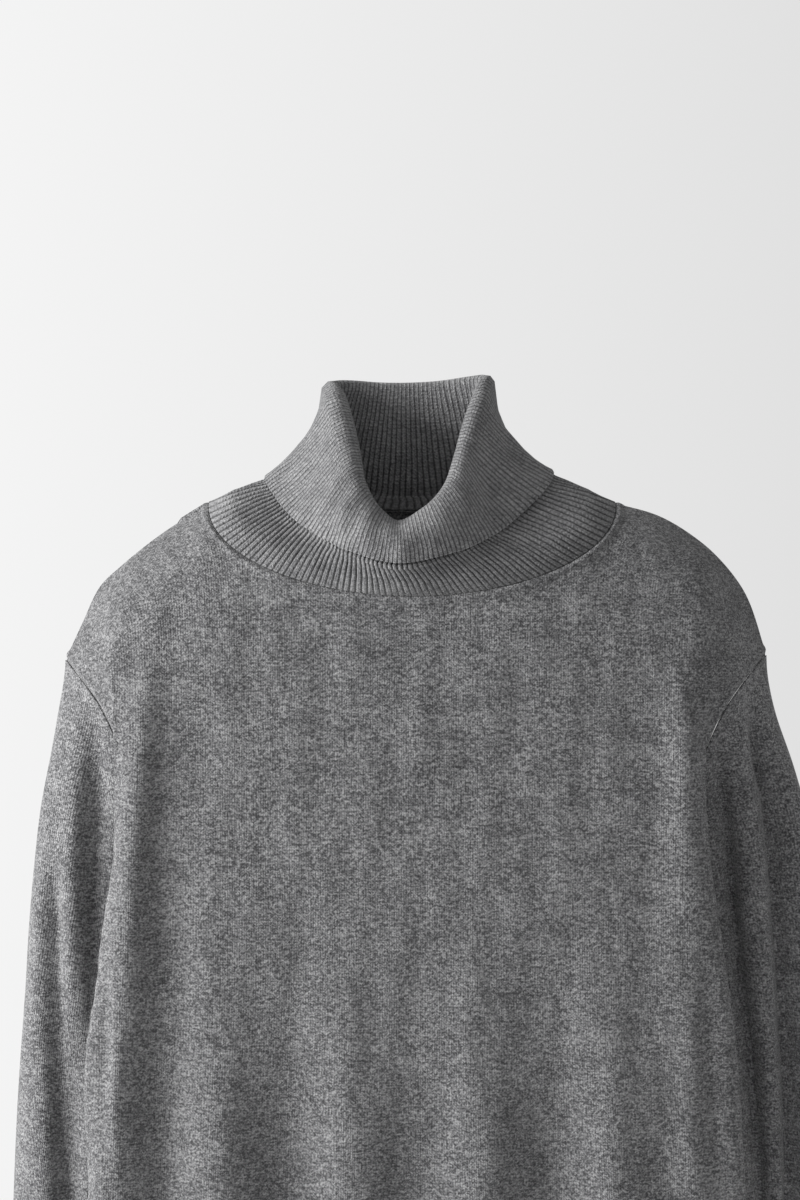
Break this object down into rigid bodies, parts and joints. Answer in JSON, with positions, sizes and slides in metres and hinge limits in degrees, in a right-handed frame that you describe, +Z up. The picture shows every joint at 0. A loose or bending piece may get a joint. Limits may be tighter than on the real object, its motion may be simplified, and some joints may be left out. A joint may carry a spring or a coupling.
{
  "type": "turtleneck sweater",
  "caption": "Fine-gauge long-sleeved knitted sweater with a folded ribbed turtleneck, ribbed cuffs and hem, hanging open and hollow from its shoulders.",
  "frame": {"origin": "midway between the shoulders at the level of the neck points, where the sweater is held up", "axes": "+Z up, -Y out of the front of the sweater, +X to the right in a front view, which is the wearer's left"},
  "size_m": [0.5207, 0.105, 0.7468],
  "materials": {
    "jersey": "mid-grey heather wool jersey, matte with a soft nap",
    "rib": "mid-grey heather wool rib knit, matte with a soft nap"
  },
  "bodies": {
    "root": {"front": "jersey", "back": "jersey", "welt_front": "rib", "welt_back": "rib", "sleeve_left": "jersey", "sleeve_right": "jersey", "cuff_left": "rib", "cuff_right": "rib", "collar": "rib"}
  },
  "joints": []
}
